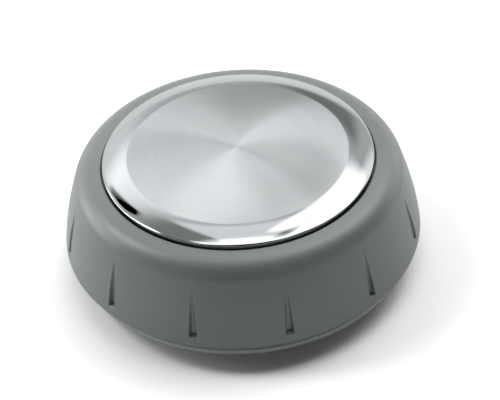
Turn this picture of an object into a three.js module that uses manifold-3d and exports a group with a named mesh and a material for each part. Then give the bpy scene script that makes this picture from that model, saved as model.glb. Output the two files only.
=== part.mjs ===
// Rotary control knob: a grip shell with a spun-metal face disc, carried by a hub
// that turns in a fixed base plate. The hub has a D-shaped socket for the control's shaft.
// Units are millimetres and +Z is up. The origin is on the turning axis, in the plane of
// the base plate's underside. The front is the -Y side, where one of the grip notches lies.

import * as THREE from 'three';
import { mergeVertices } from 'three/addons/utils/BufferGeometryUtils.js';
import { ConvexGeometry } from 'three/addons/geometries/ConvexGeometry.js';
import Module from 'manifold-3d';

const wasm = await Module();
wasm.setup();

// A point of a turned profile: its radius and its height.
const point = (r, z) => new THREE.Vector2(r, z);

// ---- Driving dimensions -------------------------------------------------------------

const GAP = 0.3;                  // clearance left between pieces that touch
const RING_SEGMENTS = 60;         // facets round the large turned pieces
const HUB_SEGMENTS = 36;          // facets round the hub and what sits on it
const PIN_SEGMENTS = 16;          // facets round screws, bosses and small holes

// Outside of the grip shell
const SKIRT_R = 38;               // largest radius, at the skirt's lower edge
const SKIRT_EDGE_Z = 3.8;         // height of that edge
const SHELL_FOOT_R = 36.5;        // outer radius of the shell's underside
const SHELL_FOOT_Z = 1.7;         // height of the shell's underside
const SHELL_FOOT_WIDTH = 2.1;     // width of that underside
const SKIRT_EDGE_EASE = point(0.3, 0.5);  // how much the lower edge is eased, across and up
const SKIRT_BULGE = 0.39;         // how far the skirt bows out from a straight cone
const SHOULDER_FILLET_R = 5.2;
const SHOULDER_FILLET_CENTRE = point(29.82, 16.48);
const SKIRT_TOP_ANGLE = 12.5;     // degrees above horizontal where the skirt meets the fillet
const SHOULDER_TOP_ANGLE = 81;    // degrees above horizontal where the fillet meets the shoulder
const RECESS_R = 28.8;            // bore that the face disc sits in
const RECESS_RIM_Z = 21.9;        // height of the shoulder at that bore
const LEDGE_Z = 20.9;             // floor of the recess

// Inside of the grip shell
const SHELL_WALL = 2.4;
const PLATFORM_R = 21.5;          // raised, domed middle of the recess
const PLATFORM_DRAFT = 1;         // how far its edge slopes out
const CEILING_Z = 18.9;           // underside of the shell's top
const CORE_R = 19.8;              // the middle of the underside is cored out to here
const CORE_CEILING_Z = 20.5;
const CEILING_R = 30.2;           // where the ceiling turns down into the inner fillet
const INNER_FILLET_TOP_ANGLE = 50;
const INNER_KNEE_Z = 10;          // the wall's inside runs straight from here down to its foot
const INNER_FOOT_Z = 4.2;

// Grip notches
const NOTCHES = 12;
const NOTCH_TOP_Z = 16.8;
const NOTCH_FOOT_Z = 5.8;
const NOTCH_DEPTH = 0.9;          // at the foot; it runs out to nothing at the top
const NOTCH_FOOT_HALF_WIDTH = 0.75;
const NOTCH_TOP_HALF_WIDTH = 0.25;

// Face disc
const DISC_R = 28.5;
const DISC_SHEET = 0.9;
const DISC_EDGE_Z = 22.4;         // top of the turned-down edge
const DISC_EDGE_ROUND = 0.3;
const BEVEL_R = 23.2;             // where the polished bevel meets the brushed dome
const BEVEL_Z = 23.8;
const CROWN_Z = 24.9;
const BEVEL_BOW = 0.15;            // how far the bevel bows out from a straight cone
const ADHESIVE_SHEET = 0.5;
const ADHESIVE_R = 20.5;

// Base plate
const BASE_R = 36.3;
const BASE_FOOT_R = 36.1;
const BASE_LIP_Z = 1.35;
const BASE_LIP_CHAMFER = 0.3;
const BASE_PLATE_Z = 2;
const SPIGOT_R = 34;              // low wall inside the shell's foot
const SPIGOT_WALL = 1.2;
const SPIGOT_Z = 3.2;
const BEARING_BLOCK_R = 14;
const BEARING_BLOCK_Z = 4.4;
const BEARING_R = 10.2;
const BEARING_TOP_Z = 8.2;
const BEARING_BORE_R = 7.2;
const COUNTERBORE_R = 11;
const COUNTERBORE_Z = 2.3;
const BASE_RIBS = 6;
const BASE_RIB_THICKNESS = 1.4;
const PANEL_SCREWS = 3;
const PANEL_SCREW_CIRCLE_R = 24;
const PANEL_BOSS_R = 3.6;
const PANEL_BOSS_Z = 7.2;
const PANEL_PILOT_R = 1.3;
const PANEL_PILOT_DEPTH = 6;

// Carrier: hub, web, ribs and rim
const HUB_R = 7;
const HUB_FOOT_Z = 0.4;
const HUB_TOP_Z = 18.5;
const HUB_CHAMFER = 0.4;
const WEB_Z = 9.5;
const WEB_THICKNESS = 2.2;
const WEB_R = 31.5;
const RIM_THICKNESS = 1.5;
const RIM_TOP_Z = 15.5;
const RIBS = 6;
const RIB_THICKNESS = 1.6;
const POST_R = [20.8, 28];        // the taller part of each rib, which holds up the shell's top
const CLIP_GROOVE_R = 6.3;        // groove for the retaining ring
const CLIP_GROOVE_Z = [0.9, 2.3];

// D-shaped socket for a 6.35 mm shaft whose flat leaves 4.76 mm
const SOCKET_R = 3.25;
const SOCKET_FLAT_Y = 1.65;
const SOCKET_TOP_Z = 15.9;
const CLIP_POCKET_HALF_WIDTH = 1.7;
const CLIP_POCKET_BACK_Y = 3.4;

// Shaft clip: a bowed leaf of spring steel
const LEAF_HALF_WIDTH = 1.4;
const LEAF_THICKNESS = 0.4;
const LEAF_Z = [2.2, 15.2];
const LEAF_BOW = 1.0;

// Retaining ring and thrust washer
const RETAINER_R = [6.6, 9.4];
const RETAINER_Z = [1.2, 2];
const RETAINER_GAP_ANGLE = 70;    // degrees of the ring that are open
const WASHER_R = [7.4, 10];
const WASHER_Z = [8.5, 9.2];

// Screws that hold the carrier to the grip shell
const CARRIER_SCREWS = 3;
const CARRIER_SCREW_CIRCLE_R = 16.5;
const CARRIER_BOSS_R = 3.4;
const SCREW_HEAD_R = 2.8;
const SCREW_HEAD_HEIGHT = 1.9;
const SCREW_SHANK_R = 1.25;
const SCREW_LENGTH = 7.5;
const SCREW_HEAD_CHAMFER = 0.8;
const SCREW_POINT_R = 0.3;
const SCREW_POINT_LENGTH = 1.2;
const SCREW_DRIVE_DEPTH = 1.1;
const SCREW_DRIVE_WIDTH = 0.7;
const SCREW_DRIVE_SPAN = 3;

const CUT = 1;                    // how far a cutting shape runs past the face it cuts
const SINK = 0.5;                 // how far a rib or boss runs into what it grows from

// ---- Helpers ------------------------------------------------------------------------

const degrees = THREE.MathUtils.degToRad;

// A closed mesh, with its shared vertices merged and its zero-area triangles dropped.
function solid(geometry) {
  const bare = geometry.clone();
  bare.deleteAttribute('normal');
  bare.deleteAttribute('uv');
  const merged = mergeVertices(bare);
  const index = merged.getIndex().array;
  const triangles = [];
  for (let i = 0; i < index.length; i += 3) {
    const [a, b, c] = index.slice(i, i + 3);
    if (a !== b && b !== c && c !== a) triangles.push(a, b, c);
  }
  return new wasm.Manifold(new wasm.Mesh({
    numProp: 3,
    vertProperties: new Float32Array(merged.getAttribute('position').array),
    triVerts: new Uint32Array(triangles),
  }));
}

function add(first, ...others) {
  return others.reduce((sum, other) => sum.add(other), first);
}

function cut(first, ...others) {
  return others.reduce((rest, other) => rest.subtract(other), first);
}

// A turned piece: its (radius, height) profile runs anticlockwise, so faces point out.
function turned(profile, segments) {
  return solid(new THREE.LatheGeometry(profile, segments).rotateX(Math.PI / 2));
}

function closedRing(profile, segments) {
  return turned([...profile, profile[0].clone()], segments);
}

function ring(inner, outer, low, high, segments) {
  return closedRing([point(inner, low), point(outer, low), point(outer, high), point(inner, high)],
    segments);
}

function cylinder(radius, low, high, segments, x = 0, y = 0) {
  const shape = new THREE.CylinderGeometry(radius, radius, high - low, segments);
  return solid(shape.rotateX(Math.PI / 2).translate(x, y, (low + high) / 2));
}

// A block given by its low and high corners, turned about the Z axis.
function block(low, high, angle = 0) {
  const size = high.map((value, axis) => value - low[axis]);
  const centre = high.map((value, axis) => (value + low[axis]) / 2);
  return solid(new THREE.BoxGeometry(...size).translate(...centre).rotateZ(angle));
}

// The places of count things, evenly spaced round a circle from a first angle in degrees.
function around(count, radius, firstAngle) {
  return Array.from({ length: count }, (_, i) => {
    const angle = degrees(firstAngle + 360 * i / count);
    return { angle, x: radius * Math.cos(angle), y: radius * Math.sin(angle) };
  });
}

function onArc(centre, radius, angle) {
  return point(radius, 0).rotateAround(point(0, 0), degrees(angle)).add(centre);
}

// Points on an arc about a centre, from one angle to another in degrees, ends included.
function arc(centre, radius, from, to, steps) {
  return Array.from({ length: steps + 1 }, (_, i) =>
    onArc(centre, radius, THREE.MathUtils.lerp(from, to, i / steps)));
}

// Points on a line that bows out by a given height at its middle, ends included.
function bowed(from, to, bow, steps) {
  const along = to.clone().sub(from);
  const out = point(along.y, -along.x).normalize();
  return Array.from({ length: steps + 1 }, (_, i) => {
    const t = i / steps;
    return from.clone().addScaledVector(along, t).addScaledVector(out, 4 * bow * t * (1 - t));
  });
}

function material(color, roughness, metalness) {
  return new THREE.MeshStandardMaterial({ color, roughness, metalness });
}

function geometryOf(manifold) {
  const mesh = manifold.getMesh();
  const geometry = new THREE.BufferGeometry();
  geometry.setAttribute('position', new THREE.BufferAttribute(mesh.vertProperties, 3));
  geometry.setIndex(new THREE.BufferAttribute(mesh.triVerts, 1));
  geometry.computeVertexNormals();
  return geometry;
}

const object = new THREE.Group();

function piece(name, manifold, surface) {
  const mesh = new THREE.Mesh(geometryOf(manifold), surface);
  mesh.name = name;
  object.add(mesh);
}

// ---- Shared profiles ----------------------------------------------------------------

const skirtTop = onArc(SHOULDER_FILLET_CENTRE, SHOULDER_FILLET_R, SKIRT_TOP_ANGLE);

function skirtProfile(steps) {
  return bowed(point(SKIRT_R, SKIRT_EDGE_Z), skirtTop, SKIRT_BULGE, steps);
}

function skirtRadiusAt(z) {
  const t = (z - SKIRT_EDGE_Z) / (skirtTop.y - SKIRT_EDGE_Z);
  return THREE.MathUtils.lerp(SKIRT_R, skirtTop.x, t) + 4 * SKIRT_BULGE * t * (1 - t);
}

// Height of a shallow dome that falls from its crown as the face disc's middle does.
function domeZ(crown, r) {
  return crown - (CROWN_Z - BEVEL_Z) * (r / BEVEL_R) ** 2;
}

function domeProfile(crown, fromR, toR, steps) {
  return Array.from({ length: steps + 1 }, (_, i) => {
    const r = THREE.MathUtils.lerp(fromR, toR, i / steps);
    return point(r, domeZ(crown, r));
  });
}

const adhesiveTop = CROWN_Z - DISC_SHEET - GAP;
const platformTop = adhesiveTop - ADHESIVE_SHEET - GAP;

// ---- Grip shell ---------------------------------------------------------------------

function gripNotch() {
  const outside = SKIRT_R + CUT;
  const corners = [];
  const ends = [
    { z: NOTCH_TOP_Z, floor: skirtRadiusAt(NOTCH_TOP_Z), half: NOTCH_TOP_HALF_WIDTH },
    { z: NOTCH_FOOT_Z, floor: skirtRadiusAt(NOTCH_FOOT_Z) - NOTCH_DEPTH, half: NOTCH_FOOT_HALF_WIDTH },
  ];
  for (const { z, floor, half } of ends) {
    for (const side of [-1, 1]) {
      corners.push(new THREE.Vector3(floor, side * half, z), new THREE.Vector3(outside, side * half, z));
    }
  }
  return new ConvexGeometry(corners);
}

function gripShell() {
  const innerFoot = point(SHELL_FOOT_R - SHELL_FOOT_WIDTH, SHELL_FOOT_Z);
  const innerFilletR = SHOULDER_FILLET_R - SHELL_WALL;
  const profile = [
    innerFoot,
    point(SHELL_FOOT_R, SHELL_FOOT_Z),
    point(SKIRT_R, SKIRT_EDGE_Z).sub(SKIRT_EDGE_EASE),
    ...skirtProfile(6),
    ...arc(SHOULDER_FILLET_CENTRE, SHOULDER_FILLET_R, SKIRT_TOP_ANGLE, SHOULDER_TOP_ANGLE, 6).slice(1),
    point(RECESS_R, RECESS_RIM_Z),
    point(RECESS_R, LEDGE_Z),
    point(PLATFORM_R + PLATFORM_DRAFT, LEDGE_Z),
    ...domeProfile(platformTop, PLATFORM_R, 0, 3),
    point(0, CORE_CEILING_Z),
    point(CORE_R, CORE_CEILING_Z),
    point(CORE_R, CEILING_Z),
    point(CEILING_R, CEILING_Z),
    ...arc(SHOULDER_FILLET_CENTRE, innerFilletR, INNER_FILLET_TOP_ANGLE, SKIRT_TOP_ANGLE, 2),
    point(skirtRadiusAt(INNER_KNEE_Z) - SHELL_WALL, INNER_KNEE_Z),
    point(SKIRT_R - SHELL_WALL, INNER_FOOT_Z),
    innerFoot.clone(),
  ];
  let shell = turned(profile, RING_SEGMENTS);
  for (const { angle } of around(NOTCHES, 0, -90)) {
    shell = cut(shell, solid(gripNotch().rotateZ(angle)));
  }
  for (const { x, y } of around(CARRIER_SCREWS, CARRIER_SCREW_CIRCLE_R, -90)) {
    const foot = WEB_Z + WEB_THICKNESS + GAP;
    shell = add(shell, cylinder(CARRIER_BOSS_R, foot, CORE_CEILING_Z + SINK, PIN_SEGMENTS, x, y));
    const screwTip = WEB_Z - GAP + SCREW_LENGTH;
    shell = cut(shell, cylinder(SCREW_SHANK_R + GAP, foot - CUT, screwTip + GAP, PIN_SEGMENTS, x, y));
  }
  return shell;
}

// ---- Face disc and its adhesive sheet -------------------------------------------------

function faceDisc() {
  const bevelFoot = point(DISC_R - DISC_EDGE_ROUND, DISC_EDGE_Z + DISC_EDGE_ROUND);
  const bevel = bowed(bevelFoot, point(BEVEL_R, BEVEL_Z), BEVEL_BOW, 4);
  const inner = [
    point(0, CROWN_Z - DISC_SHEET),
    ...domeProfile(CROWN_Z - DISC_SHEET, BEVEL_R / 2, BEVEL_R, 1),
    point(DISC_R - DISC_SHEET - DISC_EDGE_ROUND, DISC_EDGE_Z - DISC_EDGE_ROUND),
    point(DISC_R - DISC_SHEET, LEDGE_Z + GAP),
  ];
  return turned([
    ...inner,
    point(DISC_R, LEDGE_Z + GAP),
    point(DISC_R, DISC_EDGE_Z),
    ...bevel,
    ...domeProfile(CROWN_Z, BEVEL_R, 0, 4).slice(1),
  ], RING_SEGMENTS);
}

function faceAdhesive() {
  return turned([
    point(0, adhesiveTop - ADHESIVE_SHEET),
    ...domeProfile(adhesiveTop - ADHESIVE_SHEET, ADHESIVE_R / 2, ADHESIVE_R, 1),
    ...domeProfile(adhesiveTop, ADHESIVE_R, 0, 2),
  ], RING_SEGMENTS);
}

// ---- Base plate ---------------------------------------------------------------------

function basePlate() {
  const plate = turned([
    point(0, 0),
    point(BASE_FOOT_R, 0),
    point(BASE_R, BASE_LIP_Z - BASE_LIP_CHAMFER),
    point(BASE_R - BASE_LIP_CHAMFER, BASE_LIP_Z),
    point(SPIGOT_R, BASE_LIP_Z),
    point(SPIGOT_R, SPIGOT_Z),
    point(SPIGOT_R - SPIGOT_WALL, SPIGOT_Z),
    point(SPIGOT_R - SPIGOT_WALL, BASE_PLATE_Z),
    point(BEARING_BLOCK_R, BASE_PLATE_Z),
    point(BEARING_BLOCK_R, BEARING_BLOCK_Z),
    point(BEARING_R, BEARING_BLOCK_Z),
    point(BEARING_R, BEARING_TOP_Z),
    point(0, BEARING_TOP_Z),
  ], RING_SEGMENTS);
  const ribs = around(BASE_RIBS, 0, 0).map(({ angle }) => block(
    [BEARING_R - SINK, -BASE_RIB_THICKNESS / 2, BASE_PLATE_Z - SINK],
    [SPIGOT_R - SPIGOT_WALL + SINK, BASE_RIB_THICKNESS / 2, SPIGOT_Z],
    angle));
  const screws = around(PANEL_SCREWS, PANEL_SCREW_CIRCLE_R, 90);
  const bosses = screws.map(({ x, y }) => cylinder(
    PANEL_BOSS_R, BASE_PLATE_Z - SINK, PANEL_BOSS_Z, PIN_SEGMENTS, x, y));
  const pilots = screws.map(({ x, y }) => cylinder(
    PANEL_PILOT_R, -CUT, PANEL_PILOT_DEPTH, PIN_SEGMENTS, x, y));
  return cut(
    add(plate, ...ribs, ...bosses),
    ...pilots,
    cylinder(BEARING_BORE_R, -CUT, BEARING_TOP_Z + CUT, HUB_SEGMENTS),
    cylinder(COUNTERBORE_R, -CUT, COUNTERBORE_Z, HUB_SEGMENTS));
}

// ---- Carrier ------------------------------------------------------------------------

// The D-shaped socket, with a pocket behind its flat for the shaft clip.
function shaftSocket() {
  const flatAngle = Math.asin(SOCKET_FLAT_Y / SOCKET_R);
  const outline = new THREE.Shape();
  outline.absarc(0, 0, SOCKET_R, Math.PI - flatAngle, flatAngle, false);
  outline.closePath();
  const depth = SOCKET_TOP_Z - HUB_FOOT_Z + CUT;
  const bore = new THREE.ExtrudeGeometry(outline, { depth, bevelEnabled: false, curveSegments: 24 });
  const pocket = block(
    [-CLIP_POCKET_HALF_WIDTH, 0, HUB_FOOT_Z - CUT],
    [CLIP_POCKET_HALF_WIDTH, CLIP_POCKET_BACK_Y, SOCKET_TOP_Z]);
  return add(solid(bore.translate(0, 0, HUB_FOOT_Z - CUT)), pocket);
}

function carrier() {
  const webTop = WEB_Z + WEB_THICKNESS;
  const body = turned([
    point(0, HUB_FOOT_Z),
    point(HUB_R - HUB_CHAMFER, HUB_FOOT_Z),
    point(HUB_R, HUB_FOOT_Z + HUB_CHAMFER),
    point(HUB_R, CLIP_GROOVE_Z[0]),
    point(CLIP_GROOVE_R, CLIP_GROOVE_Z[0]),
    point(CLIP_GROOVE_R, CLIP_GROOVE_Z[1]),
    point(HUB_R, CLIP_GROOVE_Z[1]),
    point(HUB_R, WEB_Z),
    point(WEB_R, WEB_Z),
    point(WEB_R, RIM_TOP_Z),
    point(WEB_R - RIM_THICKNESS, RIM_TOP_Z),
    point(WEB_R - RIM_THICKNESS, webTop),
    point(HUB_R, webTop),
    point(HUB_R, HUB_TOP_Z),
    point(0, HUB_TOP_Z),
  ], HUB_SEGMENTS);
  const ribs = around(RIBS, 0, 0).map(({ angle }) => block(
    [HUB_R - SINK, -RIB_THICKNESS / 2, webTop - SINK],
    [WEB_R - RIM_THICKNESS + SINK, RIB_THICKNESS / 2, RIM_TOP_Z],
    angle));
  const posts = around(RIBS, 0, 0).map(({ angle }) => block(
    [POST_R[0], -RIB_THICKNESS / 2, webTop - SINK],
    [POST_R[1], RIB_THICKNESS / 2, CEILING_Z - GAP],
    angle));
  const holes = around(CARRIER_SCREWS, CARRIER_SCREW_CIRCLE_R, -90).map(({ x, y }) => cylinder(
    SCREW_SHANK_R + GAP, WEB_Z - CUT, webTop + CUT, PIN_SEGMENTS, x, y));
  return cut(add(body, ...ribs, ...posts), ...holes, shaftSocket());
}

// ---- Small parts on the hub ---------------------------------------------------------

// A bowed leaf whose middle stands level with the socket's flat and presses on the shaft.
function shaftClip() {
  const steps = 8;
  const [low, high] = LEAF_Z;
  const face = Array.from({ length: steps + 1 }, (_, i) => {
    const t = i / steps;
    const y = SOCKET_FLAT_Y + LEAF_BOW * (2 * t - 1) ** 2;
    return point(y, THREE.MathUtils.lerp(low, high, t));
  });
  const back = face.map((p) => point(p.x + LEAF_THICKNESS, p.y)).reverse();
  const outline = new THREE.Shape([...face, ...back]);
  const leaf = new THREE.ExtrudeGeometry(outline, { depth: 2 * LEAF_HALF_WIDTH, bevelEnabled: false });
  leaf.translate(0, 0, -LEAF_HALF_WIDTH);
  // The outline's x and y become Y and Z, and the extrusion runs along X.
  leaf.applyMatrix4(new THREE.Matrix4().makeBasis(
    new THREE.Vector3(0, 1, 0), new THREE.Vector3(0, 0, 1), new THREE.Vector3(1, 0, 0)));
  return solid(leaf);
}

// An external retaining ring, open at the front, that keeps the hub in its bearing.
function retainingRing() {
  const [inner, outer] = RETAINER_R;
  const half = degrees(RETAINER_GAP_ANGLE / 2);
  const outline = new THREE.Shape();
  outline.absarc(0, 0, outer, -Math.PI / 2 + half, 1.5 * Math.PI - half, false);
  outline.absarc(0, 0, inner, 1.5 * Math.PI - half, -Math.PI / 2 + half, true);
  outline.closePath();
  const depth = RETAINER_Z[1] - RETAINER_Z[0];
  const clip = new THREE.ExtrudeGeometry(outline, { depth, bevelEnabled: false, curveSegments: 24 });
  return solid(clip.translate(0, 0, RETAINER_Z[0]));
}

// A pan-head screw that points up, with a cross drive in its head.
function carrierScrew({ x, y }) {
  const headTop = WEB_Z - GAP;
  const headLow = headTop - SCREW_HEAD_HEIGHT;
  const screw = turned([
    point(0, headLow),
    point(SCREW_HEAD_R - SCREW_HEAD_CHAMFER, headLow),
    point(SCREW_HEAD_R, headLow + SCREW_HEAD_CHAMFER),
    point(SCREW_HEAD_R, headTop),
    point(SCREW_SHANK_R, headTop),
    point(SCREW_SHANK_R, headTop + SCREW_LENGTH - SCREW_POINT_LENGTH),
    point(SCREW_POINT_R, headTop + SCREW_LENGTH),
    point(0, headTop + SCREW_LENGTH),
  ], PIN_SEGMENTS);
  const slot = (angle) => block(
    [-SCREW_DRIVE_SPAN / 2, -SCREW_DRIVE_WIDTH / 2, headLow - CUT],
    [SCREW_DRIVE_SPAN / 2, SCREW_DRIVE_WIDTH / 2, headLow + SCREW_DRIVE_DEPTH],
    angle);
  return cut(screw, slot(0), slot(Math.PI / 2)).translate(x, y, 0);
}

// ---- The object ---------------------------------------------------------------------

piece('base_plate', basePlate(), material('#7c8382', 0.55, 0));
piece('thrust_washer', ring(...WASHER_R, ...WASHER_Z, HUB_SEGMENTS), material('#e8e4d8', 0.4, 0));
piece('hub_carrier', carrier(), material('#d7d8d4', 0.5, 0));
piece('retaining_ring', retainingRing(), material('#8d8f92', 0.35, 1));
piece('shaft_clip', shaftClip(), material('#9b9ea3', 0.3, 1));
piece('grip_shell', gripShell(), material('#8f9796', 0.5, 0));
around(CARRIER_SCREWS, CARRIER_SCREW_CIRCLE_R, -90).forEach((place, i) => {
  piece(`carrier_screw_${i + 1}`, carrierScrew(place), material('#b9bcc0', 0.35, 1));
});
piece('face_adhesive', faceAdhesive(), material('#f2f2ee', 0.8, 0));
piece('face_disc', faceDisc(), material('#c9ccd1', 0.25, 1));

export default object;
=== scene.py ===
"""A round control knob: fine meshes, materials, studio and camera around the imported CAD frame.

Lengths are in metres. MM turns the millimetres of the design into metres. The knob turns about
the Z axis, and everything that turns rides on the body "knob"; the plate under it is "base".
"""

import math

import bmesh
import bpy
from mathutils import Matrix, Vector


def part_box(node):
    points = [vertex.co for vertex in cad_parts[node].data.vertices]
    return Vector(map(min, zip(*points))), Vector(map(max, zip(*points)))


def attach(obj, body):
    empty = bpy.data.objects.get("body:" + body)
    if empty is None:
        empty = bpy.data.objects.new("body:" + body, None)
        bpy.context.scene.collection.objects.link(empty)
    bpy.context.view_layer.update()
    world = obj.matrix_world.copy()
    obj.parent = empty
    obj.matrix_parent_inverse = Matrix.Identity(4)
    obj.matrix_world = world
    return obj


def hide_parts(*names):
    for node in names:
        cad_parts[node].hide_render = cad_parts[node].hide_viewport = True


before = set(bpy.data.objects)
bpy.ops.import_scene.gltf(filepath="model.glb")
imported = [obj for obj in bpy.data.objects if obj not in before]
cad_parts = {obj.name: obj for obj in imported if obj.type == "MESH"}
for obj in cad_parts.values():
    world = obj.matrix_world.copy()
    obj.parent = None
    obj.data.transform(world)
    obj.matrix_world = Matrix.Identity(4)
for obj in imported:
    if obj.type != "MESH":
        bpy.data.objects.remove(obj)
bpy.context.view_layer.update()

MM = 0.001
GAP = 0.3 * MM  # between neighbouring pieces
SHARP_ANGLE = math.radians(38)  # edges sharper than this aren't shaded smooth
NEARLY_STRAIGHT = math.radians(89.5)  # half the angle at a corner that needs no arc

# ---- Driving dimensions, taken from the frame where a node gives them ------------------

shell_low, shell_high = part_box("grip_shell")
disc_low, disc_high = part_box("face_disc")
_, base_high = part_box("base_plate")

SKIRT_R = shell_high.x
SKIRT_EDGE_Z = 3.8 * MM
SHELL_FOOT_R = 36.5 * MM
SHELL_FOOT_Z = shell_low.z
SHELL_FOOT_WIDTH = 2.1 * MM
SHELL_INNER_EDGE_Z = SKIRT_EDGE_Z + 0.4 * MM
SKIRT_START_Z = SKIRT_EDGE_Z + 0.3 * MM
SKIRT_BULGE = 0.39 * MM
FILLET_CENTRE = (29.82 * MM, 16.48 * MM)
FILLET_R = 5.2 * MM
SKIRT_TOP_ANGLE = 12.5
SHOULDER_TOP_ANGLE = 81.0
RECESS_R = 28.8 * MM
RECESS_RIM_Z = 21.9 * MM
LEDGE_Z = disc_low.z - GAP
SHELL_WALL = 2.4 * MM
PLATFORM_R = 21.5 * MM
PLATFORM_DROP = 1.1 * MM  # from the underside of the disc, for the adhesive sheet
CEILING_Z = 18.9 * MM
CORE_R = 19.8 * MM
CORE_CEILING_Z = 20.5 * MM

NOTCHES = 12
NOTCH_TOP_Z = 16.8 * MM
NOTCH_FOOT_Z = 5.8 * MM
NOTCH_DEPTH = 0.9 * MM
NOTCH_FOOT_HALF_WIDTH = 0.75 * MM
NOTCH_TOP_HALF_WIDTH = 0.22 * MM
NOTCH_EDGE = 0.2 * MM
NOTCH_BEAD = 0.05 * MM
NOTCH_REACH = 1.75 * MM  # how far to each side of a notch the points lie close together

DISC_R = disc_high.x
DISC_SHEET = 0.9 * MM
DISC_EDGE_Z = 22.4 * MM
BEVEL_R = 23.2 * MM
BEVEL_Z = 23.8 * MM
BEVEL_BOW = 0.15 * MM
CROWN_Z = disc_high.z
ADHESIVE_THICKNESS = 0.5 * MM

BASE_R = base_high.x
BASE_FOOT_R = 36.1 * MM
BASE_LIP_Z = 1.35 * MM
BASE_PLATE_Z = 2.0 * MM
SPIGOT_R = 34.0 * MM
SPIGOT_WALL = 1.2 * MM
SPIGOT_Z = 3.2 * MM
BEARING_BLOCK_R = 14.0 * MM
BEARING_BLOCK_Z = 4.4 * MM
BEARING_R = 10.2 * MM
BEARING_TOP_Z = base_high.z
BEARING_BORE_R = 7.2 * MM
COUNTERBORE_R = 11.0 * MM
COUNTERBORE_Z = 2.3 * MM
BASE_RIBS = 6
BASE_RIB_THICKNESS = 1.4 * MM
PANEL_SCREWS = 3
PANEL_SCREW_CIRCLE_R = 24.0 * MM
PANEL_BOSS_R = 3.6 * MM
PANEL_BOSS_Z = 7.2 * MM
PANEL_PILOT_R = 1.3 * MM
PANEL_PILOT_DEPTH = 6.0 * MM
PANEL_PILOT_LEAD = 0.35 * MM

hub_low, hub_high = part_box("hub_carrier")
HUB_R = 7.0 * MM
HUB_FOOT_Z = hub_low.z
HUB_TOP_Z = 18.5 * MM
WEB_R = hub_high.x
WEB_Z = 9.5 * MM
WEB_TOP_Z = 11.7 * MM
RIM_THICKNESS = 1.5 * MM
RIM_TOP_Z = 15.5 * MM
POST_TOP_Z = hub_high.z
POST_R = (20.8 * MM, 28.0 * MM)
RIBS = 6
RIB_THICKNESS = 1.6 * MM
RING_GROOVE_R = 6.3 * MM
RING_GROOVE_Z = (0.9 * MM, 2.3 * MM)
SOCKET_R = 3.25 * MM
SOCKET_FLAT_Y = 1.65 * MM
SOCKET_TOP_Z = 15.9 * MM
SOCKET_LEAD = 0.35 * MM
CLIP_POCKET_HALF_WIDTH = 1.7 * MM
CLIP_POCKET_BACK_Y = 3.4 * MM

ring_low, ring_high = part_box("retaining_ring")
RETAINER_IN_R = 6.6 * MM
RETAINER_OUT_R = ring_high.y
RETAINER_GAP_ANGLE = 70.0

clip_low, clip_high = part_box("shaft_clip")
LEAF_THICKNESS = 0.4 * MM
LEAF_BOW = clip_high.y - clip_low.y - LEAF_THICKNESS

washer_low, washer_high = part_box("thrust_washer")
WASHER_IN_R = 7.4 * MM

screw_low, screw_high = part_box("carrier_screw_1")
CARRIER_SCREWS = 3
CARRIER_SCREW_CIRCLE_R = 16.5 * MM
CARRIER_BOSS_R = 3.4 * MM
SCREW_CLEARANCE_R = 1.55 * MM
SCREW_HEAD_R = 2.8 * MM
SCREW_HEAD_HEIGHT = 1.9 * MM
SCREW_ROOT_R = 1.1 * MM
SCREW_THREAD_DEPTH = 0.35 * MM
SCREW_PITCH = 1.1 * MM
SCREW_CREST_HALF_WIDTH = 0.26  # as a share of the pitch
SCREW_TIP_LENGTH = 1.2 * MM
# The cross in the head: its depth, half its span and half its width, at the mouth and the floor
SCREW_CROSS = ((-0.3 * MM, 1.6 * MM, 0.42 * MM), (1.15 * MM, 0.75 * MM, 0.25 * MM))
SCREW_HOLE_TOP_Z = 17.0 * MM
BOSS_TOP_Z = 20.8 * MM

# ---- Profiles: lists of (radius, height) -----------------------------------------------


def polar(centre, radius, degrees):
    angle = math.radians(degrees)
    return (centre[0] + radius * math.cos(angle), centre[1] + radius * math.sin(angle))


def arc(centre, radius, start, end, steps):
    return [polar(centre, radius, start + (end - start) * i / steps) for i in range(steps + 1)]


def lerp(a, b, t):
    return a + (b - a) * t


def smoothstep(low, high, x):
    t = min(1.0, max(0.0, (x - low) / (high - low)))
    return t * t * (3 - 2 * t)


def bowed(start, end, bow, steps):
    """Points on a line that bows out by a given height at its middle."""
    along = (end[0] - start[0], end[1] - start[1])
    length = math.hypot(*along)
    out = (along[1] / length, -along[0] / length)
    points = []
    for i in range(steps + 1):
        t = i / steps
        rise = 4 * bow * t * (1 - t)
        points.append(tuple(start[k] + along[k] * t + out[k] * rise for k in (0, 1)))
    return points


def rounded(corners, steps=5):
    """A closed outline from (r, z) or (r, z, radius) corners, each radius becoming an arc. A point
    close to each end of an arc keeps the shading of the straight side beside it flat."""
    outline = []
    count = len(corners)
    for i, corner in enumerate(corners):
        here = Vector(corner[:2])
        radius = corner[2] if len(corner) > 2 else 0
        before = (Vector(corners[i - 1][:2]) - here).normalized()
        after = (Vector(corners[(i + 1) % count][:2]) - here).normalized()
        half = before.angle(after, 0) / 2 if radius else 0
        if not radius or half > NEARLY_STRAIGHT:
            outline.append(tuple(here))
            continue
        setback = radius / math.tan(half)
        centre = here + (before + after).normalized() * (radius / math.sin(half))
        first = here + before * setback - centre
        last = here + after * setback - centre
        sweep = first.angle_signed(last)
        hold = 1.1 * setback
        outline.append(tuple(here + before * hold))
        for k in range(steps + 1):
            outline.append(tuple(centre + Matrix.Rotation(-sweep * k / steps, 2) @ first))
        outline.append(tuple(here + after * hold))
    return outline


skirt_top = polar(FILLET_CENTRE, FILLET_R, SKIRT_TOP_ANGLE)


def skirt_radius(z):
    t = (z - SKIRT_EDGE_Z) / (skirt_top[1] - SKIRT_EDGE_Z)
    return lerp(SKIRT_R, skirt_top[0], t) + 4 * SKIRT_BULGE * t * (1 - t)


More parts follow.
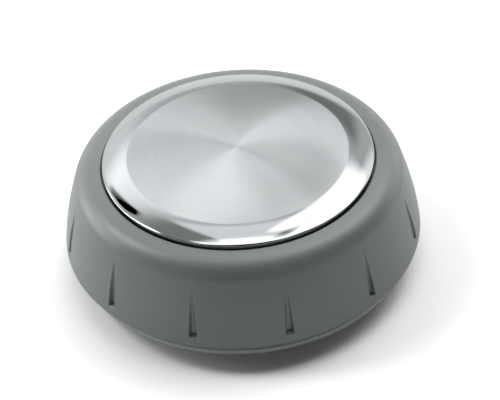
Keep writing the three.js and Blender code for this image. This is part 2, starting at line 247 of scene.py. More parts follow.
def dome(crown, radii):
    """Points on a dome that runs level with the disc's, from the height of its crown."""
    return [(r, crown - (CROWN_Z - BEVEL_Z) * (r / BEVEL_R) ** 2) for r in radii]


# ---- Meshes ----------------------------------------------------------------------------


def linked(name, data):
    """A new object in the scene."""
    thing = bpy.data.objects.new(name, data)
    bpy.context.scene.collection.objects.link(thing)
    return thing


def smooth_data(name, mesh):
    """Turns a bmesh into mesh data that is shaded smooth between its sharp edges."""
    for face in mesh.faces:
        face.smooth = True
    data = bpy.data.meshes.new(name)
    mesh.to_mesh(data)
    mesh.free()
    data.set_sharp_from_angle(angle=SHARP_ANGLE)
    return data


def turned_mesh(name, outline, angles, shift=None):
    """Turns a closed outline about Z. Points on the axis become one vertex each. shift(r, z, angle)
    gives the radius of a point, for outlines that aren't the same all round."""
    mesh = bmesh.new()
    rings = []
    for r, z in outline:
        if r < 1e-9:
            vertex = mesh.verts.new((0, 0, z))
            rings.append([vertex] * len(angles))
            continue
        ring = []
        for angle in angles:
            radius = shift(r, z, angle) if shift else r
            ring.append(mesh.verts.new((radius * math.cos(angle), radius * math.sin(angle), z)))
        rings.append(ring)
    for i, ring in enumerate(rings):
        above = rings[(i + 1) % len(rings)]
        for k in range(len(angles)):
            n = (k + 1) % len(angles)
            corners = []
            for vertex in (ring[k], ring[n], above[n], above[k]):
                if vertex not in corners:
                    corners.append(vertex)
            if len(corners) > 2:
                mesh.faces.new(corners)
    return smooth_data(name, mesh)


def even_angles(count):
    return [2 * math.pi * i / count for i in range(count)]


def turned(name, corners, count=144):
    return turned_mesh(name, rounded(corners), even_angles(count))


def lofted(name, rings):
    """A closed mesh through a row of rings of points, with a face over each end."""
    mesh = bmesh.new()
    rows = [[mesh.verts.new(p) for p in ring] for ring in rings]
    count = len(rows[0])
    for low, high in zip(rows, rows[1:]):
        for k in range(count):
            n = (k + 1) % count
            mesh.faces.new((low[k], low[n], high[n], high[k]))
    mesh.faces.new(rows[0][::-1])
    mesh.faces.new(rows[-1])
    return smooth_data(name, mesh)


def prism(name, outline, low, high):
    """An upright prism over an outline of (x, y) points that runs anticlockwise."""
    return lofted(name, [[(x, y, z) for x, y in outline] for z in (low, high)])


def block(name, low, high, angle=0.0):
    """An upright block from its low and high corners, turned about Z."""
    outline = [(low[0], low[1]), (high[0], low[1]), (high[0], high[1]), (low[0], high[1])]
    mesh = prism(name, outline, low[2], high[2])
    mesh.transform(Matrix.Rotation(angle, 4, "Z"))
    return mesh


def moved(mesh, x, y, z=0.0):
    mesh.transform(Matrix.Translation((x, y, z)))
    return mesh


def around(count, radius, first_angle):
    """The angle, x and y of count places spaced evenly round a circle from an angle in degrees."""
    places = []
    for i in range(count):
        angle = math.radians(first_angle) + 2 * math.pi * i / count
        places.append((angle, radius * math.cos(angle), radius * math.sin(angle)))
    return places


def joined(meshes):
    """One mesh from several that don't touch each other."""
    whole = bmesh.new()
    for mesh in meshes:
        whole.from_mesh(mesh)
    data = bpy.data.meshes.new("joined")
    whole.to_mesh(data)
    whole.free()
    return data


def carved(name, body, added=(), removed=()):
    """A closed mesh with other closed meshes joined to it, and others cut out of it."""
    for operation, tools in (("UNION", added), ("DIFFERENCE", removed)):
        if not tools:
            continue
        base = linked("carving", body)
        tool = linked("tool", joined(tools))
        modifier = base.modifiers.new("carve", "BOOLEAN")
        modifier.operation, modifier.object, modifier.solver = operation, tool, "EXACT"
        depsgraph = bpy.context.evaluated_depsgraph_get()
        body = bpy.data.meshes.new_from_object(base.evaluated_get(depsgraph))
        bpy.data.objects.remove(base)
        bpy.data.objects.remove(tool)
    body.name = name
    body.set_sharp_from_angle(angle=SHARP_ANGLE)
    return body


def stand_for(node, mesh, body, materials):
    """Puts a fine mesh in the place of a CAD node, riding on a body."""
    piece = linked(node + "_fine", mesh)
    for material in materials:
        mesh.materials.append(material)
    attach(piece, body)
    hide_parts(node)


# ---- Grip shell ------------------------------------------------------------------------


def notch_angles():
    """Angles round the shell: close together over each notch, wide apart between notches."""
    pitch = 2 * math.pi / NOTCHES
    near = NOTCH_REACH / SKIRT_R
    fine = [lerp(-near, near, i / 44) for i in range(45)]
    wide = [lerp(near, pitch - near, i / 18) for i in range(1, 18)]
    start = -math.pi / 2
    return [start + pitch * n + a for n in range(NOTCHES) for a in fine + wide]


def notched_radius(r, z, angle):
    """The radius of a point of the skirt, sunk where it lies in a grip notch."""
    if r < skirt_radius(z) - 0.05 * MM or not NOTCH_FOOT_Z - MM < z < NOTCH_TOP_Z + MM:
        return r
    pitch = 2 * math.pi / NOTCHES
    from_notch = (angle + math.pi / 2 + pitch / 2) % pitch - pitch / 2
    across = abs(from_notch) * r
    up = (z - NOTCH_FOOT_Z) / (NOTCH_TOP_Z - NOTCH_FOOT_Z)
    half = lerp(NOTCH_FOOT_HALF_WIDTH, NOTCH_TOP_HALF_WIDTH, up)
    floor = NOTCH_DEPTH * max(0.0, 1 - up)
    inside = 1 - smoothstep(half - NOTCH_EDGE, half + NOTCH_EDGE, across)
    above_foot = smoothstep(NOTCH_FOOT_Z - NOTCH_EDGE, NOTCH_FOOT_Z + NOTCH_EDGE, z)
    out_of_half = max(0.0, across - half)
    below_foot = max(0.0, NOTCH_FOOT_Z - z)
    from_edge = math.hypot(out_of_half, below_foot)
    bead = NOTCH_BEAD * math.exp(-((from_edge - 2 * NOTCH_EDGE) / NOTCH_EDGE) ** 2)
    bead *= 1 - smoothstep(0.5, 1.0, up)
    return r - floor * inside * above_foot + bead


def skirt_heights():
    """Heights of the skirt's rows of points: closest at the foot of the notches."""
    foot = [lerp(NOTCH_FOOT_Z - 0.9 * MM, NOTCH_FOOT_Z + 0.5 * MM, i / 22) for i in range(23)]
    low = [lerp(SKIRT_START_Z, foot[0], i / 3) for i in range(3)]
    high = [lerp(foot[-1], skirt_top[1], i / 34) for i in range(1, 35)]
    return low + foot + high


def grip_shell(material):
    foot_in = SHELL_FOOT_R - SHELL_FOOT_WIDTH
    inner_edge = (SKIRT_R - SHELL_WALL, SHELL_INNER_EDGE_Z)
    # Two corners above the skirt's start only steer the arcs at the foot, and are left out after
    steering_z = SKIRT_EDGE_Z + 3 * MM
    lower = rounded([
        (foot_in, SHELL_FOOT_Z, 0.3 * MM),
        (SHELL_FOOT_R, SHELL_FOOT_Z, 0.2 * MM),
        (SKIRT_R + 0.025 * MM, SKIRT_EDGE_Z - 0.1 * MM, 0.5 * MM),
        (skirt_radius(steering_z), steering_z),
        (inner_edge[0] - 2 * MM, steering_z),
        inner_edge,
    ])
    below_skirt = SKIRT_START_Z - 0.01 * MM
    lower = [p for p in lower if p[1] < below_skirt and p[0] > foot_in - 0.001 * MM]
    skirt = [(skirt_radius(z), z) for z in skirt_heights()]
    shoulder = arc(FILLET_CENTRE, FILLET_R, SKIRT_TOP_ANGLE, SHOULDER_TOP_ANGLE, 16)[1:]
    upper = rounded([
        (shoulder[-1][0], shoulder[-1][1]),
        (RECESS_R, RECESS_RIM_Z, 0.25 * MM),
        (RECESS_R, LEDGE_Z, 0.15 * MM),
        (PLATFORM_R + MM, LEDGE_Z),
    ])[1:]
    platform_radii = (PLATFORM_R, 16 * MM, 8 * MM, 0)
    platform = dome(CROWN_Z - DISC_SHEET - PLATFORM_DROP, platform_radii)
    inside = [
        (0, CORE_CEILING_Z),
        (CORE_R, CORE_CEILING_Z),
        (CORE_R, CEILING_Z),
        (FILLET_CENTRE[0] + 0.4 * MM, CEILING_Z),
        *arc(FILLET_CENTRE, FILLET_R - SHELL_WALL, 50, SKIRT_TOP_ANGLE, 6),
        (skirt_radius(10 * MM) - SHELL_WALL, 10 * MM),
        inner_edge,
    ]
    outline = lower + skirt + shoulder + upper + platform + inside
    shell = turned_mesh("grip_shell_fine", outline, notch_angles(), notched_radius)
    boss_foot = WEB_TOP_Z + GAP
    boss = [
        (0, SCREW_HOLE_TOP_Z),
        (SCREW_CLEARANCE_R, SCREW_HOLE_TOP_Z, 0.3 * MM),
        (SCREW_CLEARANCE_R, boss_foot, 0.2 * MM),
        (CARRIER_BOSS_R, boss_foot, 0.2 * MM),
        (CARRIER_BOSS_R, BOSS_TOP_Z),
        (0, BOSS_TOP_Z),
    ]
    places = around(CARRIER_SCREWS, CARRIER_SCREW_CIRCLE_R, -90)
    bosses = [moved(turned("boss", boss, 48), x, y) for _, x, y in places]
    mesh = carved("grip_shell_fine", shell, bosses)
    stand_for("grip_shell", mesh, "knob", [material])


# ---- Face disc -------------------------------------------------------------------------


def face_disc(brushed, polished):
    edge_round = 0.28 * MM
    rim_r = DISC_R - edge_round
    rim = arc((rim_r, DISC_EDGE_Z), edge_round, 0, 60, 5)
    bevel = bowed((rim_r, DISC_EDGE_Z + edge_round), (BEVEL_R, BEVEL_Z), BEVEL_BOW, 14)
    inner_r = DISC_R - DISC_SHEET
    outline = [
        *dome(CROWN_Z - DISC_SHEET, [BEVEL_R * i / 6 for i in range(7)]),
        (inner_r - 0.3 * MM, DISC_EDGE_Z - DISC_SHEET + 0.5 * MM),
        (inner_r, disc_low.z),
        (DISC_R, disc_low.z),
        *rim,
        *bevel[1:],
        *dome(CROWN_Z, [BEVEL_R * (1 - i / 24) for i in range(1, 25)]),
    ]
    mesh = turned_mesh("face_disc_fine", outline, even_angles(288))
    stand_for("face_disc", mesh, "knob", [brushed, polished])
    # The dome's faces have the first material, and all the others the second
    for polygon in mesh.polygons:
        middle = polygon.center
        radius = math.hypot(middle.x, middle.y)
        top = middle.z > disc_low.z + 0.5 * MM and polygon.normal.z > 0
        polygon.material_index = 0 if radius < BEVEL_R and top else 1


# ---- Pieces under the shell ------------------------------------------------------------


def face_adhesive(material):
    _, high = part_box("face_adhesive")
    top = dome(CROWN_Z - DISC_SHEET - GAP, [high.x * i / 12 for i in range(12, -1, -1)])
    foot = [(r, z - ADHESIVE_THICKNESS) for r, z in reversed(top)]
    mesh = turned_mesh("face_adhesive_fine", foot + top, even_angles(144))
    stand_for("face_adhesive", mesh, "knob", [material])


def base_plate(material):
    inner_spigot_r = SPIGOT_R - SPIGOT_WALL
    plate = turned("plate", [
        (COUNTERBORE_R, 0, 0.3 * MM),
        (BASE_FOOT_R, 0, 0.35 * MM),
        (BASE_R, BASE_LIP_Z, 0.3 * MM),
        (SPIGOT_R, BASE_LIP_Z, 0.2 * MM),
        (SPIGOT_R, SPIGOT_Z, 0.3 * MM),
        (inner_spigot_r, SPIGOT_Z, 0.3 * MM),
        (inner_spigot_r, BASE_PLATE_Z, 0.3 * MM),
        (BEARING_BLOCK_R, BASE_PLATE_Z, 0.5 * MM),
        (BEARING_BLOCK_R, BEARING_BLOCK_Z, 0.4 * MM),
        (BEARING_R, BEARING_BLOCK_Z, 0.5 * MM),
        (BEARING_R, BEARING_TOP_Z, 0.3 * MM),
        (BEARING_BORE_R, BEARING_TOP_Z, 0.4 * MM),
        (BEARING_BORE_R, COUNTERBORE_Z, 0.3 * MM),
        (COUNTERBORE_R, COUNTERBORE_Z, 0.2 * MM),
    ], 240)
    half = BASE_RIB_THICKNESS / 2
    sink = 0.5 * MM
    low = (BEARING_R - sink, -half, BASE_PLATE_Z - sink)
    high = (inner_spigot_r + sink, half, SPIGOT_Z - 0.05 * MM)
    ribs = [block("rib", low, high, angle) for angle, _, _ in around(BASE_RIBS, 0, 0)]
    boss = [
        (0, BASE_PLATE_Z - sink),
        (PANEL_BOSS_R, BASE_PLATE_Z - sink),
        (PANEL_BOSS_R, PANEL_BOSS_Z, 0.4 * MM),
        (0, PANEL_BOSS_Z),
    ]
    mouth = PANEL_PILOT_R + PANEL_PILOT_LEAD
    below = -0.2 * MM
    pilot = [
        (0, below),
        (mouth, below),
        (mouth, 0),
        (PANEL_PILOT_R, PANEL_PILOT_LEAD),
        (PANEL_PILOT_R, PANEL_PILOT_DEPTH, 0.3 * MM),
        (0, PANEL_PILOT_DEPTH),
    ]
    places = around(PANEL_SCREWS, PANEL_SCREW_CIRCLE_R, 90)
    bosses = [moved(turned("boss", boss, 48), x, y) for _, x, y in places]
    pilots = [moved(turned("pilot", pilot, 48), x, y) for _, x, y in places]
    mesh = carved("base_plate_fine", plate, ribs + bosses, pilots)
    stand_for("base_plate", mesh, "base", [material])


def socket_outline(spread):
    """The shaft's D, with the clip's pocket behind its flat, made larger all round by spread."""
    radius = SOCKET_R + spread
    flat = SOCKET_FLAT_Y + spread
    side = CLIP_POCKET_HALF_WIDTH + spread
    back = CLIP_POCKET_BACK_Y + spread
    end = math.degrees(math.asin(flat / radius))
    round_side = arc((0, 0), radius, -180 - end, end, 48)
    return round_side + [(side, flat), (side, back), (-side, back), (-side, flat)]


def hub_carrier(material):
    body = turned("carrier", [
        (0, HUB_FOOT_Z),
        (HUB_R, HUB_FOOT_Z, 0.5 * MM),
        (HUB_R, RING_GROOVE_Z[0], 0.08 * MM),
        (RING_GROOVE_R, RING_GROOVE_Z[0], 0.12 * MM),
        (RING_GROOVE_R, RING_GROOVE_Z[1], 0.12 * MM),
        (HUB_R, RING_GROOVE_Z[1], 0.08 * MM),
        (HUB_R, WEB_Z, 0.3 * MM),
        (WEB_R, WEB_Z, 0.5 * MM),
        (WEB_R, RIM_TOP_Z, 0.4 * MM),
        (WEB_R - RIM_THICKNESS, RIM_TOP_Z, 0.4 * MM),
        (WEB_R - RIM_THICKNESS, WEB_TOP_Z, 0.6 * MM),
        (HUB_R, WEB_TOP_Z, 0.8 * MM),
        (HUB_R, HUB_TOP_Z, 0.5 * MM),
        (0, HUB_TOP_Z),
    ], 192)
    sink = 0.5 * MM
    rib_top = RIM_TOP_Z - 0.4 * MM
    rib_end = WEB_R - RIM_THICKNESS + sink
    side = rounded([
        (HUB_R - sink, WEB_TOP_Z - sink),
        (rib_end, WEB_TOP_Z - sink),
        (rib_end, rib_top),
        (POST_R[1], rib_top, 0.6 * MM),
        (POST_R[1], POST_TOP_Z, 0.3 * MM),
        (POST_R[0], POST_TOP_Z, 0.3 * MM),
        (POST_R[0], rib_top, 0.6 * MM),
        (HUB_R - sink, rib_top),
    ])
    half = RIB_THICKNESS / 2
    ribs = []
    for angle, _, _ in around(RIBS, 0, 0):
        rib = lofted("rib", [[(r, y, z) for r, z in side] for y in (half, -half)])
        rib.transform(Matrix.Rotation(angle, 4, "Z"))
        ribs.append(rib)
    mouth = ((-0.6 * MM, SOCKET_LEAD), (HUB_FOOT_Z, SOCKET_LEAD))
    bore = ((HUB_FOOT_Z + SOCKET_LEAD, 0), (SOCKET_TOP_Z, 0))
    rings = [[(x, y, z) for x, y in socket_outline(spread)] for z, spread in mouth + bore]
    low, high = WEB_Z - MM, WEB_TOP_Z + MM
    hole = [(0, low), (SCREW_CLEARANCE_R, low), (SCREW_CLEARANCE_R, high), (0, high)]
    holes = []
    for _, x, y in around(CARRIER_SCREWS, CARRIER_SCREW_CIRCLE_R, -90):
        holes.append(moved(turned("hole", hole, 48), x, y))
    mesh = carved("hub_carrier_fine", body, ribs, [lofted("socket", rings), *holes])
    stand_for("hub_carrier", mesh, "knob", [material])


def thrust_washer(material):
    low, high = washer_low.z, washer_high.z
    corners = [(WASHER_IN_R, low), (washer_high.x, low), (washer_high.x, high), (WASHER_IN_R, high)]
    mesh = turned("thrust_washer_fine", [(r, z, 0.12 * MM) for r, z in corners])
    stand_for("thrust_washer", mesh, "base", [material])


def retaining_ring(material):
    """A stamped ring, open at the front, with a rounded section that narrows towards its ends."""
    rings = []
    steps = 96
    for i in range(steps + 1):
        t = 2 * i / steps - 1
        angle = math.radians(90 + t * (180 - RETAINER_GAP_ANGLE / 2))
        outer = RETAINER_OUT_R - 0.7 * MM * t ** 4
        corners = [
            (RETAINER_IN_R, ring_low.z, 0.1 * MM),
            (outer, ring_low.z, 0.1 * MM),
            (outer, ring_high.z, 0.25 * MM),
            (RETAINER_IN_R, ring_high.z, 0.1 * MM),
        ]
        section = rounded(corners, 4)
        rings.append([(r * math.cos(angle), r * math.sin(angle), z) for r, z in reversed(section)])
    mesh = lofted("retaining_ring_fine", rings)
    stand_for("retaining_ring", mesh, "knob", [material])


def shaft_clip(material):
    """A leaf of spring steel, bowed towards the shaft, with rounded edges."""
    edge = 0.12 * MM
    steps = 40
    rings = []
    for i in range(steps + 1):
        t = i / steps
        z = lerp(clip_low.z, clip_high.z, t)
        face = clip_low.y + LEAF_BOW * (2 * t - 1) ** 2
        back = face + LEAF_THICKNESS
        narrow = 0.35 * MM * max(0.0, abs(2 * t - 1) - 0.9) / 0.1
        left, right = clip_low.x + narrow, clip_high.x - narrow
        corners = [(left, face), (right, face), (right, back), (left, back)]
        rings.append([(x, y, z) for x, y in rounded([(*c, edge) for c in corners], 4)])
    mesh = lofted("shaft_clip_fine", rings)
    stand_for("shaft_clip", mesh, "knob", [material])


def thread_radius(r, z, angle):
    """The radius of a point of a screw's shank, raised where the thread runs."""
    if abs(r - SCREW_ROOT_R) > 1e-9:
        return r
    phase = (z / SCREW_PITCH - angle / (2 * math.pi)) % 1.0
    crest = max(0.0, 1 - abs(phase - 0.5) / SCREW_CREST_HALF_WIDTH)
    run_out = smoothstep(screw_low.z + 2.2 * MM, screw_low.z + 3.2 * MM, z)
    return r + SCREW_THREAD_DEPTH * crest * run_out


def carrier_screws(material):
    head_top = screw_low.z + SCREW_HEAD_HEIGHT
    shank_end = screw_high.z - SCREW_TIP_LENGTH
    head = rounded([
        (0, screw_low.z),
        (SCREW_HEAD_R, screw_low.z, 0.9 * MM),
        (SCREW_HEAD_R, head_top, 0.15 * MM),
        (SCREW_ROOT_R + 0.01 * MM, head_top),
    ])
    rows = 80
    shank = [(SCREW_ROOT_R, lerp(head_top, shank_end, i / rows)) for i in range(1, rows + 1)]
    tip = [(0.25 * MM, screw_high.z - 0.1 * MM), (0, screw_high.z)]
    body = turned_mesh("screw", head + shank + tip, even_angles(48), thread_radius)
    arms = []
    for angle in (0, math.pi / 2):
        rings = []
        for deep, span, width in SCREW_CROSS:
            corners = ((-span, -width), (span, -width), (span, width), (-span, width))
            rings.append([(x, y, screw_low.z + deep) for x, y in corners])
        arm = lofted("arm", rings)
        arm.transform(Matrix.Rotation(angle, 4, "Z"))
        arms.append(arm)
    cross = carved("cross", arms[0], arms[1:])
    screw = carved("screw", body, (), [cross])
    for i, (_, x, y) in enumerate(around(CARRIER_SCREWS, CARRIER_SCREW_CIRCLE_R, -90)):
        mesh = moved(screw.copy(), x, y)
        stand_for(f"carrier_screw_{i + 1}", mesh, "knob", [material])


# ---- Materials -------------------------------------------------------------------------


class Nodes:
    """A short way to write the node tree of a material, or of a world."""

    def __init__(self, owner):
        owner.use_nodes = True
        self.tree = owner.node_tree
        self.tree.nodes.clear()
        is_world = isinstance(owner, bpy.types.World)
        self.shader = self.add("ShaderNodeBackground" if is_world else "ShaderNodeBsdfPrincipled")
        output = self.add("ShaderNodeOutputWorld" if is_world else "ShaderNodeOutputMaterial")
        self.link(self.shader.outputs[0], output.inputs["Surface"])

    def add(self, kind, **settings):
        node = self.tree.nodes.new(kind)
        for key, value in settings.items():
            setattr(node, key, value)
        return node

    def link(self, source, target):
        self.tree.links.new(source, target)

    def math(self, operation, a, b=None):
        node = self.add("ShaderNodeMath", operation=operation)
        for socket, value in zip(node.inputs, (a, b)):
            if hasattr(value, "links"):
                self.link(value, socket)
            elif value is not None:
                socket.default_value = value
        return node.outputs[0]

    def noise(self, vector, scale, detail=3.0, roughness=0.5):
        node = self.add("ShaderNodeTexNoise")
        node.inputs["Scale"].default_value = scale
        node.inputs["Detail"].default_value = detail
        node.inputs["Roughness"].default_value = roughness
        self.link(vector, node.inputs["Vector"])
        return node.outputs["Fac"]

    def wrap(self, value, low, high):
        node = self.add("ShaderNodeMath", operation="WRAP")
        self.link(value, node.inputs[0])
        node.inputs[1].default_value, node.inputs[2].default_value = high, low
        return node.outputs[0]

    def ramp(self, value, low, high, to_low, to_high, kind="LINEAR"):
        node = self.add("ShaderNodeMapRange", interpolation_type=kind)
        self.link(value, node.inputs["Value"])
        limits = {"From Min": low, "From Max": high, "To Min": to_low, "To Max": to_high}
        for key, number in limits.items():
            node.inputs[key].default_value = number
        return node.outputs["Result"]

    def colour(self, value, dark, light):
        node = self.add("ShaderNodeMix", data_type="RGBA")
        self.link(value, node.inputs["Factor"])
        node.inputs["A"].default_value = (*dark, 1)
        node.inputs["B"].default_value = (*light, 1)
        return node.outputs["Result"]

    def bump(self, height, distance, strength=1.0):
        node = self.add("ShaderNodeBump")
        node.inputs["Distance"].default_value = distance
        node.inputs["Strength"].default_value = strength
        self.link(height, node.inputs["Height"])
        return node.outputs["Normal"]

    def place(self):
        return self.add("ShaderNodeTexCoord").outputs["Object"]

    def set(self, **values):
        for key, value in values.items():
            socket = self.shader.inputs[key.replace("_", " ")]
            if hasattr(value, "links"):
                self.link(value, socket)
            else:
                socket.default_value = value


def moulded_plastic(name, dark, light, roughness):
    """Satin moulded plastic: a fine spark-eroded grain and faint, broad colour variation."""
    material = bpy.data.materials.new(name)
    n = Nodes(material)
    place = n.place()
    grain = n.noise(place, 3800, 2.0, 0.6)
    broad = n.noise(place, 60, 3.0, 0.55)
    n.set(
        Base_Color=n.colour(n.ramp(broad, 0.3, 0.7, 0, 1), dark, light),
        Roughness=n.ramp(grain, 0.3, 0.7, roughness - 0.05, roughness + 0.06),
        Normal=n.bump(grain, 0.02 * MM, 0.5),
        Specular_IOR_Level=0.55,
    )
    return material


def turning_marks(n, pitch, arcs):
    """Noise that runs round the Z axis: pitch lines per metre, broken into a few long arcs."""
    split = n.add("ShaderNodeSeparateXYZ")
    n.link(n.place(), split.inputs[0])
    x, y = split.outputs["X"], split.outputs["Y"]
    radius = n.math("SQRT", n.math("ADD", n.math("MULTIPLY", x, x), n.math("MULTIPLY", y, y)))
    polar_place = n.add("ShaderNodeCombineXYZ")
    n.link(n.math("MULTIPLY", radius, pitch), polar_place.inputs["X"])
    n.link(n.math("MULTIPLY", n.math("DIVIDE", x, radius), arcs), polar_place.inputs["Y"])
    n.link(n.math("MULTIPLY", n.math("DIVIDE", y, radius), arcs), polar_place.inputs["Z"])
    return n.noise(polar_place.outputs[0], 1.0, 4.0, 0.65)


def brushed_metal():
    """Spun metal: fine marks round the axis, which spread each reflection into a fan."""
    material = bpy.data.materials.new("brushed_dome")
    n = Nodes(material)
    fine = turning_marks(n, 2600, 2.0)
    broad = turning_marks(n, 500, 1.0)
    tangent = n.add("ShaderNodeTangent", direction_type="RADIAL", axis="Z")
    dark, light = (0.260, 0.273, 0.277), (0.273, 0.286, 0.290)
    n.set(
        Base_Color=n.colour(n.ramp(fine, 0.3, 0.7, 0, 1), dark, light),
        Metallic=1.0,
        Roughness=n.ramp(broad, 0.3, 0.7, 0.20, 0.22),
        Anisotropic=1.0,
        Normal=n.bump(fine, 0.0008 * MM, 0.5),
        Tangent=tangent.outputs[0],
    )
    return material


def polished_metal():
    """The same metal, turned to a polish."""
    material = bpy.data.materials.new("polished_bevel")
    n = Nodes(material)
    fine = turning_marks(n, 2600, 1.5)
    dark, light = (0.262, 0.274, 0.278), (0.272, 0.284, 0.288)
    n.set(
        Base_Color=n.colour(n.ramp(fine, 0.3, 0.7, 0, 1), dark, light),
        Metallic=1.0,
        Roughness=n.ramp(fine, 0.3, 0.7, 0.045, 0.07),
        Normal=n.bump(fine, 0.0001 * MM, 0.2),
    )
    return material


def plain_sheet():
    """White double-sided adhesive sheet with a faint mottle."""
    material = bpy.data.materials.new("adhesive_sheet")
    n = Nodes(material)
    mottle = n.noise(n.place(), 900, 4.0, 0.6)
    dark, light = (0.78, 0.78, 0.74), (0.86, 0.86, 0.82)
    n.set(
        Base_Color=n.colour(n.ramp(mottle, 0.3, 0.7, 0, 1), dark, light),
        Roughness=n.ramp(mottle, 0.3, 0.7, 0.55, 0.75),
        Normal=n.bump(mottle, 0.02 * MM, 0.5),
    )
    return material


def rolled_steel(name, dark, light, roughness):
    """Steel with a mottled surface finish and fine rolling marks along Z."""
    material = bpy.data.materials.new(name)
    n = Nodes(material)
    mottle = n.noise(n.place(), 700, 4.0, 0.6)
    stretch = n.add("ShaderNodeMapping")
    stretch.inputs["Scale"].default_value = (6, 6, 0.4)
    n.link(n.place(), stretch.inputs["Vector"])
    marks = n.noise(stretch.outputs[0], 1500, 3.0, 0.6)
    n.set(
        Base_Color=n.colour(n.ramp(mottle, 0.3, 0.7, 0, 1), dark, light),
        Metallic=1.0,
        Roughness=n.ramp(marks, 0.3, 0.7, roughness - 0.06, roughness + 0.08),
        Normal=n.bump(marks, 0.003 * MM, 0.5),
    )
    return material


# ---- Camera, floor and light -----------------------------------------------------------

CAMERA_TURN = -12.4  # degrees that the camera stands to the left of the front notch
CAMERA_ELEVATION = 40.03
CAMERA_ROLL = 4.03
CAMERA_DISTANCE = 11.376 * SKIRT_R
CAMERA_ASIDE = 0.0501 * SKIRT_R
CAMERA_ABOVE = 0.2076 * SKIRT_R
LENS = 144
SENSOR_WIDTH = 36

FLOOR_HALF_WIDTH = 2.0
FLOOR_Z = -3.0 * MM
SPACER_R = 27.0 * MM
SPACER_TOP_Z = -0.02 * MM


def make_camera():
    """A long lens 40 degrees above the horizon, a little to the left of the front notch."""
    elevation, turn, roll = map(math.radians, (CAMERA_ELEVATION, CAMERA_TURN, CAMERA_ROLL))
    forward = Vector((0, math.cos(elevation), -math.sin(elevation)))
    up = Vector((0, math.sin(elevation), math.cos(elevation)))
    right = Vector((1, 0, 0))
    place = right * CAMERA_ASIDE + up * CAMERA_ABOVE - forward * CAMERA_DISTANCE
    rolled_right = right * math.cos(roll) - up * math.sin(roll)
    rolled_up = right * math.sin(roll) + up * math.cos(roll)
    axes = Matrix((rolled_right, rolled_up, -forward)).transposed().to_4x4()
    camera = linked("camera", bpy.data.cameras.new("camera"))
    camera.matrix_world = Matrix.Rotation(turn, 4, "Z") @ Matrix.Translation(place) @ axes
    camera.data.lens = LENS
    camera.data.sensor_width = SENSOR_WIDTH
    camera.data.clip_start = 0.01
    bpy.context.scene.camera = camera


def make_floor():
    """A white floor, and a thin white disc on it that lifts the knob clear of the floor."""
    material = bpy.data.materials.new("floor_white")
    Nodes(material).set(Base_Color=(0.80, 0.80, 0.80, 1), Roughness=0.8, Specular_IOR_Level=0.2)
    sheet = bpy.data.meshes.new("floor")
    half = FLOOR_HALF_WIDTH
    corners = ((-half, -half), (half, -half), (half, half), (-half, half))
    sheet.from_pydata([(x, y, FLOOR_Z) for x, y in corners], [], [(0, 1, 2, 3)])
    sheet.materials.append(material)
    floor = linked("floor", sheet)
    disc = turned("spacer", [
        (0, FLOOR_Z),
        (SPACER_R, FLOOR_Z),
        (SPACER_R, SPACER_TOP_Z, 0.3 * MM),
        (0, SPACER_TOP_Z),
    ])
    disc.materials.append(material)
    spacer = linked("spacer", disc)


# The studio round the knob: soft-edged windows of light, all far away. Each has the azimuth and
# elevation of its middle, its width, height and the width of its soft edge, in degrees, and its
# radiance. Azimuth 0 is to the camera's right and 90 straight behind the knob. A negative radiance
# is a dark card that hides some of the light behind it.
STUDIO = {
    "back_low": (90, 7, 140, 22, 6, 0.6),
    "backdrop": (92, 24, 140, 56, 16, 1.2),
    "back_middle": (102, 42, 44, 18, 12, 1.4),
    "back_left": (122, 30, 40, 24, 12, 0.8),
    "dark_card": (78, 26, 15, 18, 8, -0.7),
    "dark_post": (126, 44, 7, 14, 3, -1.8),
    "left_box": (162, 48, 20, 20, 6, 18.0),
    "left_low": (160, 12, 32, 22, 8, 7.0),
    "right_box": (62, 54, 32, 26, 6, 2.9),
    "right_middle": (46, 34, 28, 16, 8, 1.4),
    "right_high": (34, 60, 40, 32, 10, 6.6),
    "right_low": (38, 6, 34, 18, 8, 1.8),
    "back_top": (88, 67, 44, 24, 6, 1.6),
    "top_back": (90, 82, 200, 18, 6, 3.2),
    "ceiling": (90, 72, 200, 44, 10, 0.6),
    "left_wall": (204, 8, 76, 40, 12, 0.55),
    "front_wall": (316, 14, 84, 26, 12, 0.45),
}


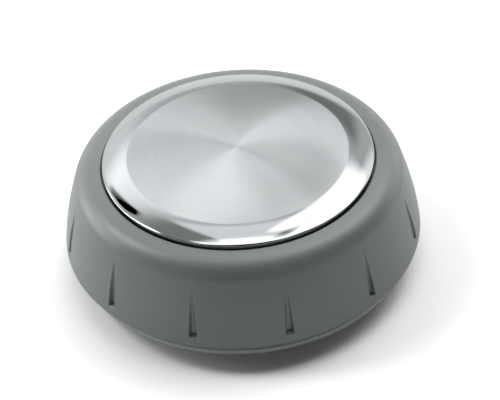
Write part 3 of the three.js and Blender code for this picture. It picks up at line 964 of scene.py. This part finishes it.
def studio_window(n, azimuth, elevation, window):
    """A mask times a radiance: the light that one window sends from a direction, in degrees."""
    middle, height_middle, width, height, soft, radiance = window
    aside = n.math("ABSOLUTE", n.wrap(n.math("SUBTRACT", azimuth, middle), -180, 180))
    above = n.math("ABSOLUTE", n.math("SUBTRACT", elevation, height_middle))
    across = n.ramp(aside, (width - soft) / 2, (width + soft) / 2, 1, 0, "SMOOTHSTEP")
    upright = n.ramp(above, (height - soft) / 2, (height + soft) / 2, 1, 0, "SMOOTHSTEP")
    return n.math("MULTIPLY", n.math("MULTIPLY", across, upright), radiance)


def make_light():
    """The world's light: the sum of the studio's windows, by direction."""
    world = bpy.data.worlds.new("studio")
    n = Nodes(world)
    split = n.add("ShaderNodeSeparateXYZ")
    n.link(n.add("ShaderNodeTexCoord").outputs["Generated"], split.inputs[0])
    x, y, z = (split.outputs[axis] for axis in "XYZ")
    azimuth = n.math("SUBTRACT", n.math("DEGREES", n.math("ARCTAN2", y, x)), CAMERA_TURN)
    elevation = n.math("DEGREES", n.math("ARCSINE", z))
    light = 0.0
    for window in STUDIO.values():
        light = n.math("ADD", light, studio_window(n, azimuth, elevation, window))
    n.set(Color=(1.0, 1.0, 1.0, 1), Strength=light)
    bpy.context.scene.world = world


make_camera()
make_floor()
make_light()
bpy.context.scene.view_settings.view_transform = "Standard"

grey_dark, grey_light = (0.088, 0.101, 0.100), (0.095, 0.108, 0.107)
grip_shell(moulded_plastic("grip_plastic", grey_dark, grey_light, 0.42))
face_disc(brushed_metal(), polished_metal())
face_adhesive(plain_sheet())
base_plate(moulded_plastic("base_plastic", (0.20, 0.22, 0.218), (0.215, 0.236, 0.233), 0.42))
hub_carrier(moulded_plastic("carrier_plastic", (0.55, 0.55, 0.52), (0.60, 0.60, 0.57), 0.40))
thrust_washer(moulded_plastic("bearing_plastic", (0.72, 0.70, 0.64), (0.77, 0.75, 0.69), 0.32))
retaining_ring(rolled_steel("oiled_ring_steel", (0.12, 0.12, 0.13), (0.19, 0.19, 0.20), 0.34))
shaft_clip(rolled_steel("bright_spring_steel", (0.34, 0.35, 0.37), (0.44, 0.45, 0.47), 0.26))
carrier_screws(rolled_steel("zinc_plate", (0.50, 0.51, 0.53), (0.62, 0.63, 0.65), 0.30))
